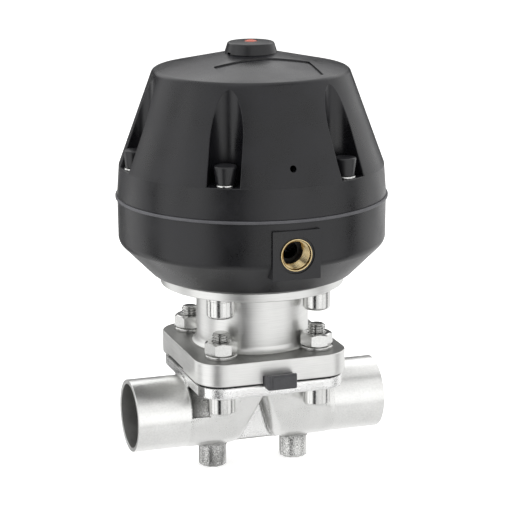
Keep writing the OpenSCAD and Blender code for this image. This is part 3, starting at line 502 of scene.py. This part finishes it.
# %% actuator diaphragm
membrane = spun([(5.05, 110.6), (40.6, 110.6, 1.2), (49.5, 124.8, 1.2), (49.5, BOWL_TOP), (62.5, BOWL_TOP, 0.4),
                 (62.5, SPLIT_Z, 0.4), (47.9, SPLIT_Z), (47.9, 125.2, 0.8), (39.0, 112.2, 0.8), (5.05, 112.2)], 192)
rolling = piece(membrane, "rolling_diaphragm", None, "membrane_rubber", cloth_rubber, "actuator_diaphragm")
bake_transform(rolling)

# %% [markdown]
# ## Hub and indicator
# A push-in hub closes the roof, and the red indicator rod comes up through it when the valve opens.

# %% hub and indicator
hub = spun([(3.1, 180.9), (8, 180.9), (8, HUB_Z), (HUB_R, HUB_Z, 0.15), (10.5, 198.3, 0.7), (3.1, 198.7, 0.15)], 128)
notch = moved(block((-1.2, -1, 0), (1.2, 1, 0.9), edge=0.2),
              Matrix.Rotation(math.radians(196), 4, "Z") @ Matrix.Translation((11.6, 0, 193.4))
              @ Matrix.Rotation(math.radians(90), 4, "Z"))
piece(clean(cut(hub, notch)), "indicator_hub", "valve", "cap_plastic", moulded_plug, "indicator_cap")
rod = spun([(0, 119.2), (2, 119.2), (2, 126.2), (3, 126.2, 0.3), (3, 198.6, 0.4), (1.4, 199.2, 0.6), (0, 199.3)], 64)
piece(rod, "indicator_rod", "stem", "indicator_red", tinted_rod, "indicator_pin")

# %% [markdown]
# ## Screws and plugs of the housing
# Six cap screws draw the housings together. Only the edge of each head shows, as a bright ring on a pocket's floor,
# because a tapered plug closes its socket.

# %% housing screws and plugs
screw = spun([(0, 118.3), (2.5, 118.3, 0.4), (2.5, 139.3), (4.25, 139.3), (4.25, 143.3), (4.8, 143.4, 0.1),
              (4.8, 144.2, 0.3), (2.2, 144.3, 0.2), (2.2, 141.8), (0, 141.8)], 48)
piece(repeated(screw, SCREWS), "housing_cap_screws", "valve", "fastener_steel", fastener_steel, "housing_screws")
plug = spun([(0, 141.9), (1.95, 141.9), (1.95, 144.3), (4.3, 144.3, 0.3), (5.1, 152.3, 0.7), (0, 152.5)], 48)
piece(repeated(plug, SCREWS), "socket_plugs", "valve", "cap_plastic", moulded_plug, "screw_caps")

# %% [markdown]
# ## Air port
# The insert is a turned brass sleeve with a pipe thread. The thread is a triangle swept by a spin that also climbs:
# each step turns it a little and lifts it by the same share of the pitch.


# %% brass insert
def thread(root, depth, pitch, low, turns, steps=28):
    """A helical ridge in mm, on a cylinder of radius root: depth is negative for an inside thread."""
    bm = bmesh.new()
    foot = math.copysign(0.15, depth)
    wire(bm, [(root - foot, 0, low), (root + depth, 0, low + 0.42 * pitch),
              (root + depth, 0, low + 0.56 * pitch), (root - foot, 0, low + 0.98 * pitch)])
    bmesh.ops.spin(bm, geom=bm.verts[:] + bm.edges[:], cent=(0, 0, 0), axis=(0, 0, 1), dvec=(0, 0, pitch / steps),
                   angle=2 * math.pi * turns, steps=int(steps * turns), use_merge=False, use_duplicate=False)
    bmesh.ops.holes_fill(bm, edges=[e for e in bm.edges if e.is_boundary])
    return clean(bm)


sleeve = spun([(6.5, 51.4), (7.2, 51.4), (7.2, 62.4, 0.15), (6.75, 62.4, 0.15), (6.45, 61.8)], 96)
brass = fused(sleeve, thread(6.5, -0.6, 1.337, 51.7, 6.6, 40))
piece(moved(clean(brass), LEVEL), "port_insert", "valve", "brass", turned_brass, "air_port_insert", sharp=28)

# %% [markdown]
# ## Distance piece
# One stainless piece joins the body to the actuator: a square flange, a neck and a disc. It is turned first, and the
# room for the nuts' washers at the neck's foot is milled afterwards, so it is modelled in that order. The face mill
# leaves the flange's upper side duller than the rest, and its darker grey there is painted shade from the disc above.

# %% distance piece
FLANGE_LOW, FLANGE_TOP, DISC_LOW = 48.6, 59.2, 87.7
flange = block((-36, -37.5, FLANGE_LOW), (36, 37.5, FLANGE_TOP), corner=13, edge=0.6)
neck = spun([(0, 55), (29.5, 55), (29.5, FLANGE_TOP), (26, FLANGE_TOP, 3.4), (26, DISC_LOW, 1.2),
             (DISC_R, DISC_LOW, 0.5), (DISC_R, DISC_TOP, 0.4), (0, DISC_TOP)], 160)
nut_room = repeated(spun([(0, FLANGE_TOP), (7.6, FLANGE_TOP), (7.6, 63.0), (0, 63.0)], 64), BOLTS)
drill = repeated(spun([(0, 45), (4.5, 45), (4.5, 95), (0, 95)], 32), BOLTS)
tab_notch = block((-7.4, -40, 47), (7.4, -32.1, 52.3))
side_slots = joined(*[block((x - 1.6, -7, 47), (x + 1.6, 19, 50.2)) for x in (-36, 36)])
inside = spun([(0, 47), (21, 47), (21, 74.4), (6, 74.4), (6, 76.7), (8.1, 76.7), (8.1, 93), (0, 93)], 96)
spacer = cut(fused(flange, neck), nut_room, drill, tab_notch, side_slots, inside)
spacer = piece(clean(spacer), "spacer_neck", "valve", "machined_stainless", milled_steel, "distance_piece")
# The flange's upper face gets the duller finish with painted shade.
refinish(spacer, milled_face, lambda at, normal: normal.z > 0.9 and abs(at.z - FLANGE_TOP) < 0.3)

# %% [markdown]
# ## Valve body
# The body is an investment casting, so every inner and outer corner is soft. A voxel remesh of a copy of the CAD
# solid and a smoothing pass melt its corners, as wax and shell do. Then it is machined as the real one is: a shallow
# recess is cut beside the screw heads, and the copy is trimmed to the cast middle. The weld ends are turned on the
# real body, so they are crisp tubes of their own.

# %% soft corners
PIPE_Z = 27.5
casting = bmesh.new()
casting.from_mesh(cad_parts["valve_body"].data)
bmesh.ops.scale(casting, vec=(1 / MM, 1 / MM, 1 / MM), verts=casting.verts)
bmesh.ops.remove_doubles(casting, verts=casting.verts, dist=0.002)
casting = worked(casting, ("REMESH", {"mode": "VOXEL", "voxel_size": 0.8}),
                 ("SMOOTH", {"factor": 0.5, "iterations": 3}))
print("remeshed casting:", len(casting.faces), "faces")

# %% recess and trimmed ends
CAST_END, BODY_FLANGE_LOW = 35.2, 42.0
RECESS_IN, RECESS_LOW, RECESS_OUT = 26.5, 28.8, {-1: 34.4, 1: 30.6}


def relief(side):
    """The tool that clears one end of the casting beside its screw heads, out to a distance from the middle."""
    end = RECESS_OUT[side]
    ring = moved(spun([(17.4, end), (16.2, end - 1.2), (16.9, RECESS_IN), (30, RECESS_IN), (30, end)], 96),
                 Matrix.Translation((0, 0, PIPE_Z)) @ Matrix.Rotation(math.radians(side * 90), 4, "Y"))
    low, high = sorted((side * 20, side * 40))
    return common(ring, block((low, -40, RECESS_LOW), (high, 40, BODY_FLANGE_LOW)))


casting = cut(casting, relief(-1), relief(1))
for side in (-1, 1):
    bmesh.ops.bisect_plane(casting, geom=casting.verts[:] + casting.edges[:] + casting.faces[:],
                           plane_co=(side * CAST_END, 0, 0), plane_no=(side, 0, 0), clear_outer=True)
    rims = [e for e in casting.edges if e.is_boundary]
    bmesh.ops.bridge_loops(casting, edges=rims)
cast_body = piece(clean(casting), "cast_body", "valve", "cast_stainless", cast_steel, "valve_body", sharp=80)

# %% [markdown]
# ### What the polishing belt left, and painted shade in the inner corners
# A belt reaches only what stands out. The flange's edge, the web, the recess and the bosses keep their blasted skin,
# so the faces there get other finishes. How hollow the skin is at each vertex is kept as an attribute, which the
# finishes read to paint shade into those inner corners.


# %% blasted faces
def in_recess(at):
    """Whether a point, in mm, lies in the recess beside a screw head."""
    out = RECESS_OUT[-1 if at.x < 0 else 1]
    return RECESS_IN - 0.1 < abs(at.x) < out + 0.2 and at.z > RECESS_LOW - 0.1 and abs(at.y) > 5


def on_web(at, normal):
    """Whether a face belongs to the web under the weir."""
    return abs(normal.y) > 0.97 and abs(at.y) < 12 and abs(at.x) < 16


BOSS_TOP = 11.5
refinish(cast_body, cast_skin, lambda at, normal: at.z > BODY_FLANGE_LOW or on_web(at, normal))
# Beside the screw heads this darker skin is partly painted shade, where the heads and flange shade the recess.
refinish(cast_body, raw_skin, lambda at, normal: at.z < BOSS_TOP or in_recess(at) and at.z < BODY_FLANGE_LOW)

# %% painted shade in inner corners
# A vertex whose neighbours lie above its own plane is hollow, and gets painted shade by how hollow it is. Less than
# FLAT is only the remesh's unevenness.
FLAT, GAIN, DEEPEST = 0.03, 11, 0.85
skin = bmesh.new()
skin.from_mesh(cast_body.data)
skin.normal_update()
hollow = cast_body.data.attributes.new("hollow", "FLOAT", "POINT")
for vert in skin.verts:
    lifts = [(e.other_vert(vert).co - vert.co).normalized().dot(vert.normal) for e in vert.link_edges]
    depth = (sum(lifts) / len(lifts) - FLAT) * GAIN
    # In the recess the painted shade is deepest beside the spigot, where the screw head and flange shade it, and none
    # elsewhere.
    if in_recess(vert.co / MM):
        depth = DEEPEST if abs(vert.co.x) > 33 * MM else 0
    hollow.data[vert.index].value = max(0, min(DEEPEST, depth))
skin.free()
print("hollow vertices:", sum(value.value > 0.2 for value in hollow.data))

# %% weld ends
tube = spun([(14.85, CAST_END), (16.85, CAST_END), (16.85, 60, 0.25), (14.85, 60, 0.25)], 160)
ends = repeated(tube, [Matrix.Rotation(math.radians(a), 4, "Y") for a in (90, -90)])
ends = moved(ends, Matrix.Translation((0, 0, PIPE_Z)))
tubes = piece(ends, "weld_ends", "valve", "cast_stainless", turned_tube, "valve_body")
refinish(tubes, pickled_bore, lambda at, normal: math.hypot(at.y, at.z - PIPE_Z) < 15)

# %% [markdown]
# ## Sealing diaphragm
# Its black edge is clamped between the flanges, and a tab stands out at the front. The dome inside is pressed on the
# weir by the compressor, and in the valve its middle moves with the spindle; here the dome is hung on no body.

# %% sealing diaphragm
EDGE_LOW = 47.6
edge = cut(block((-34.4, -35.9, EDGE_LOW), (34.4, 35.9, FLANGE_LOW), corner=11.4, edge=0.2),
           spun([(0, 47), (20.6, 47), (20.6, 50), (0, 50)], 96),
           repeated(spun([(0, 47), (4.5, 47), (4.5, 50), (0, 50)], 32), BOLTS))
piece(clean(edge), "diaphragm_edge", "valve", "black_rubber", moulded_rubber, "sealing_diaphragm")
tab = fused(block((-7, -44, 47), (7, -37.9, 53.8), corner=1.4, edge=0.5),
            block((-7, -40, EDGE_LOW), (7, -32.5, 53.8), edge=0.4))
slant = Matrix.Translation((0, -42.6, 53.9)) @ Matrix.Rotation(-0.33, 4, "X")
tab = cut(tab, moved(block((-9, 0, 0), (9, 16, 6)), slant))
tab = fused(tab, block((-4.8, -44.3, 47.7), (6.3, -43, 53.2), edge=0.25))
piece(clean(tab), "diaphragm_tab", "valve", "black_rubber", wiped_rubber, "sealing_diaphragm")


def bulge(radius, steps, middle=58.06):
    """Points of an arc in mm, from the axis outwards, round a middle on the axis."""
    return [(radius * math.sin(math.radians(5.0 * i)), middle - radius * math.cos(math.radians(5.0 * i)))
            for i in range(steps)]


dome = spun(bulge(23.16, 13) + [(20.6, 47.8), (20.6, 48.5)] + bulge(20.16, 12)[::-1], 96)
dome_piece = piece(dome, "diaphragm_dome", None, "black_rubber", moulded_rubber, "sealing_diaphragm")
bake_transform(dome_piece)

# %% [markdown]
# ## Flange screws, nuts and washers
# Cap screws come up from below, and their threads stand over the nuts. The thread is fused to a thinner core and
# then cut by a blank with a chamfered tip, as a die leaves it.

# %% flange screws
SHANK, SCREW_SEAT, BASE_SEAT = 4.0, 40.6, 86.1


def cap_head(seat, length, threaded):
    """A socket cap screw with its head below seat, and a rolled thread on the last part of its length."""
    top = seat + length
    body = spun([(0, seat - 8), (5.55, seat - 8, 0.2), (6.35, seat - 7.1, 0.4), (6.35, seat, 0.2), (SHANK, seat),
                 (SHANK, top - threaded), (3.35, top - threaded), (3.35, top, 0.5), (0, top)], 64)
    socket = bmesh.new()
    bmesh.ops.create_cone(socket, segments=6, radius1=3.46, radius2=3.46, depth=8, cap_ends=True)
    body = cut(body, moved(socket, Matrix.Translation((0, 0, seat - 8))))
    turns = (threaded + 0.4) / 1.25
    ridge = thread(3.35, SHANK - 3.35, 1.25, top - threaded - 0.8, turns)
    blank = spun([(0, seat - 9), (8, seat - 9), (8, top - threaded - 0.4), (SHANK, top - threaded - 0.4),
                  (SHANK, top - 0.9), (3.0, top, 0.3), (0, top)], 64)
    return common(fused(body, ridge), blank)


flange_screws = piece(repeated(clean(cap_head(SCREW_SEAT, 30.2, 13)), BOLTS), "flange_screws", "valve",
                      "fastener_steel", fastener_steel, "body_screws")
refinish(flange_screws, greased_thread, lambda at, normal: at.z > 60)
piece(repeated(clean(cap_head(BASE_SEAT, 16.1, 6)), BOLTS), "base_cap_screws", "valve", "fastener_steel",
      fastener_steel, "base_screws")

# %% nuts and washers
WASHER_T = 1.6
NUT_LOW, NUT_TOP, NUT_FLAT = FLANGE_TOP + WASHER_T, 66.8, 6.5
CORNER = NUT_FLAT / math.cos(math.radians(30))
hexagon = bmesh.new()
NUT_BLANK = 6.5
bmesh.ops.create_cone(hexagon, segments=6, radius1=CORNER, radius2=CORNER, depth=NUT_BLANK, cap_ends=True)
moved(hexagon, Matrix.Translation((0, 0, NUT_LOW + NUT_BLANK / 2)))
chamfer = spun([(0, NUT_LOW), (6.1, NUT_LOW), (CORNER + 0.1, NUT_LOW + 0.9), (CORNER + 0.1, NUT_TOP - 1),
                (6.1, NUT_TOP), (0, NUT_TOP)], 96)
nut = cut(common(hexagon, chamfer), spun([(0, 60), (4.05, 60), (4.05, 66.2), (4.6, 66.9), (0, 66.9)], 48))
bmesh.ops.rotate(nut, cent=(0, 0, 0), matrix=Matrix.Rotation(math.radians(52 + 30), 3, "Z"), verts=nut.verts)
piece(repeated(clean(nut), BOLTS), "flange_nuts", "valve", "fastener_steel", fastener_steel, "body_nuts", sharp=20)


def washer(outer, low):
    """A flat washer with a rolled edge."""
    high = low + WASHER_T
    return spun([(4.3, low, 0.1), (outer, low, 0.25), (outer, high, 0.4), (4.3, high, 0.2)], 64)


for name, node, outer, low in (("nut_discs", "nut_washers", 7.5, FLANGE_TOP),
                               ("screw_discs", "body_screw_washers", 6.55, SCREW_SEAT),
                               ("base_discs", "base_washers", 6.55, BASE_SEAT)):
    piece(repeated(washer(outer, low), BOLTS), name, "valve", "fastener_steel", fastener_steel, node)

# %% [markdown]
# ## Springs
# Two closing springs sit one inside the other over the plate. Each is a circle of wire swept by a climbing spin, in
# three stretches, so that the end turns lie closed. In the valve their feet move with the plate; these coils are hung
# on no body.


# %% closing springs
def coil(mean, gauge, turns, low, high, steps=32):
    """A compression spring in mm, of wire of some gauge, whose first and last turns are closed."""
    bm = bmesh.new()
    bmesh.ops.create_circle(bm, segments=12, radius=gauge / 2)
    bmesh.ops.transform(bm, verts=bm.verts, matrix=Matrix.Translation((mean / 2, 0, low + gauge / 2))
                        @ Matrix.Rotation(math.radians(90), 4, "X"))
    closed = gauge + 0.6
    rise = (high - low - gauge - 2 * closed) / (turns - 2)
    front = bm.verts[:] + bm.edges[:]
    for count, climb in ((1, closed), (turns - 2, rise), (1, closed)):
        made = bmesh.ops.spin(bm, geom=front, cent=(0, 0, 0), axis=(0, 0, 1), dvec=(0, 0, climb / steps),
                              angle=2 * math.pi * count, steps=steps * count, use_merge=False, use_duplicate=False)
        front = made["geom_last"]
    bmesh.ops.holes_fill(bm, edges=[e for e in bm.edges if e.is_boundary])
    return clean(bm)


for name, node, mean, gauge, turns in (("outer_closing_spring", "outer_spring", 62.2, 4.4, 6),
                                       ("inner_closing_spring", "inner_spring", 37.2, 3.2, 8)):
    spring = piece(coil(mean, gauge, turns, 115.3, 180.8), name, None, "spring_steel", spring_wire, node)
    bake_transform(spring)

# %% [markdown]
# ## Pieces that stay as CAD
# What works inside is turned and drilled in the CAD model already, and nothing opens the housing, so these nodes
# keep their own meshes and only get their finishes.

# %% finishes of the inner pieces
INNER = {"spindle": fastener_steel, "compressor": milled_steel, "compressor_pin": fastener_steel,
         "diaphragm_stud": fastener_steel, "lower_plate": plate_metal, "spring_plate": plate_metal,
         "stem_nut": fastener_steel, "guide_bush": bronze, "spindle_seals": moulded_rubber,
         "indicator_oring": moulded_rubber, "base_inserts": turned_brass, "housing_inserts": turned_brass}
for node, material in INNER.items():
    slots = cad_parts[node].data.materials
    slots.clear()
    slots.append(material)
print("inner pieces:", len(INNER))

# %% [markdown]
# ## Floor and world
# The valve stands on a plain white sweep, which lets a look from below through. The world is white for camera and
# mirror rays and softer for diffuse light. The paper glows a little for those rays too, so that it is as white as the
# world and still keeps the valve's shadow.


# %% floor
def backdrop_seen(tree):
    """1 for the rays that show the backdrop, straight or in metal and glass, and 0 for the rest."""
    path = add(tree, "ShaderNodeLightPath").outputs
    seen = path["Is Camera Ray"]
    for ray in ("Is Glossy Ray", "Is Transmission Ray"):
        seen = add(tree, "ShaderNodeMath", {0: seen, 1: path[ray]}, operation="MAXIMUM").outputs[0]
    return seen


plane = bmesh.new()
bmesh.ops.create_grid(plane, x_segments=2, y_segments=2, size=6)
floor = placed(plane, "floor")
floor.visible_glossy = False
paper = bpy.data.materials.new("white paper sweep")
tree = bare_tree(paper)
glow = add(tree, "ShaderNodeMath", {0: backdrop_seen(tree), 1: 0.6}, operation="MULTIPLY").outputs[0]
matt = add(tree, "ShaderNodeBsdfDiffuse", {"Color": linear("#f4f4f2")}).outputs[0]
lit = add(tree, "ShaderNodeEmission", {"Strength": glow}).outputs[0]
paper_face = add(tree, "ShaderNodeAddShader", {0: matt, 1: lit}).outputs[0]
under = add(tree, "ShaderNodeNewGeometry").outputs["Backfacing"]
clear = add(tree, "ShaderNodeBsdfTransparent").outputs[0]
sides = add(tree, "ShaderNodeMixShader", {0: under, 1: paper_face, 2: clear}).outputs[0]
add(tree, "ShaderNodeOutputMaterial", {0: sides})
floor.data.materials.append(paper)
print("floor:", paper.name)

# %% world
world = bpy.data.worlds.new("white studio")
scene.world = world
tree = bare_tree(world)
strength = add(tree, "ShaderNodeMapRange", {0: backdrop_seen(tree), 3: 0.55, 4: 1.0}).outputs[0]
sky = add(tree, "ShaderNodeBackground", {"Color": (1, 1, 1, 1), "Strength": strength}).outputs[0]
add(tree, "ShaderNodeOutputWorld", {0: sky})
print("world:", world.name)

# %% [markdown]
# ## Lamps and cards
# Large soft lamps light the valve at a plain level. Polished metal shows only what stands round it, so cards give
# it something to reflect: dark ones draw its edges and bands, and pale ones its highlights. They are seen only in
# reflections, as in a studio, where they stand just outside the picture.


# %% lamps
def stand(thing, azimuth, elevation, away, height):
    """Stands a thing round the valve and turns it there; azimuth 0 is the camera's side, and grows to the right."""
    turn, rise = math.radians(azimuth) + AZIMUTH, math.radians(elevation)
    towards = Vector((math.sin(turn) * math.cos(rise), -math.cos(turn) * math.cos(rise), math.sin(rise)))
    thing.location = Vector((0, 0, height)) + towards * away
    thing.rotation_euler = towards.to_track_quat("Z", "Y").to_euler()


def softbox(name, azimuth, elevation, away, size, power):
    """An area lamp that looks at the valve, and that mirrors don't show."""
    lamp = bpy.data.lights.new(name, "AREA")
    lamp.shape, lamp.size, lamp.size_y, lamp.energy = "RECTANGLE", size[0], size[1], power
    thing = bpy.data.objects.new(name, lamp)
    stand(thing, azimuth, elevation, away, 0.1)
    thing.visible_camera = thing.visible_glossy = False
    scene.collection.objects.link(thing)
    return thing


softbox("top softbox", 0, 80, 1.1, (0.9, 0.9), 4)
softbox("left softbox", -75, 25, 1.2, (1.2, 1.2), 7)
softbox("right softbox", 85, 25, 1.2, (1.2, 1.2), 4)
softbox("back softbox", 180, 44, 1.2, (2.6, 0.6), 3.2).visible_glossy = True


# %% cards
CARD_AWAY = 1.0


def card(name, azimuth, elevation, width, height, colour, glow=0):
    """A card seen only in reflections, with its middle and size given as angles from the valve; glow lights it."""
    sheet = bmesh.new()
    bmesh.ops.create_grid(sheet, x_segments=1, y_segments=1, size=1)
    half = [CARD_AWAY * math.tan(math.radians(angle / 2)) for angle in (width, height)]
    bmesh.ops.scale(sheet, vec=(*half, 1), verts=sheet.verts)
    thing = placed(sheet, name)
    stand(thing, azimuth, elevation, CARD_AWAY, 0.06)
    thing.visible_camera = thing.visible_diffuse = thing.visible_shadow = thing.visible_transmission = False
    cloth = bpy.data.materials.new(name + " cloth")
    tree = bare_tree(cloth)
    if glow:
        face = add(tree, "ShaderNodeEmission", {"Color": linear(colour), "Strength": glow}).outputs[0]
    else:
        face = add(tree, "ShaderNodeBsdfDiffuse", {"Color": linear(colour)}).outputs[0]
    add(tree, "ShaderNodeOutputMaterial", {0: face})
    thing.data.materials.append(cloth)


DARK_CARDS = (("front card", -16, -5, 24, 80, "#1c1c1e"), ("left card", -90, -12, 11, 60, "#1c1c1e"),
              ("right card", 92, -12, 11, 60, "#1c1c1e"), ("back card", 180, 10, 120, 28, "#343436"),
              ("lower bar", 38, -24, 50, 6, "#0c0c0c"), ("upper bar", 50, 54, 60, 8, "#0c0c0c"),
              ("left side card", -146, -10, 26, 40, "#8c8c8c"))
PALE_CARDS = (("low sheet", 38, -66, 130, 74, 0.82), ("left rim light", -112, -4, 26, 70, 1.2),
              ("left far light", -72, -4, 18, 70, 1.5), ("left light", -46, -8, 16, 50, 1.5),
              ("middle light", 30, -8, 26, 50, 1.35), ("right light", 62, -8, 16, 50, 1.2),
              ("right rim light", 128, -8, 44, 70, 1.1))
for settings in DARK_CARDS:
    card(*settings)
for *settings, glow in PALE_CARDS:
    card(*settings, "#ffffff", glow)
print("cards:", len(DARK_CARDS), "dark and", len(PALE_CARDS), "pale")
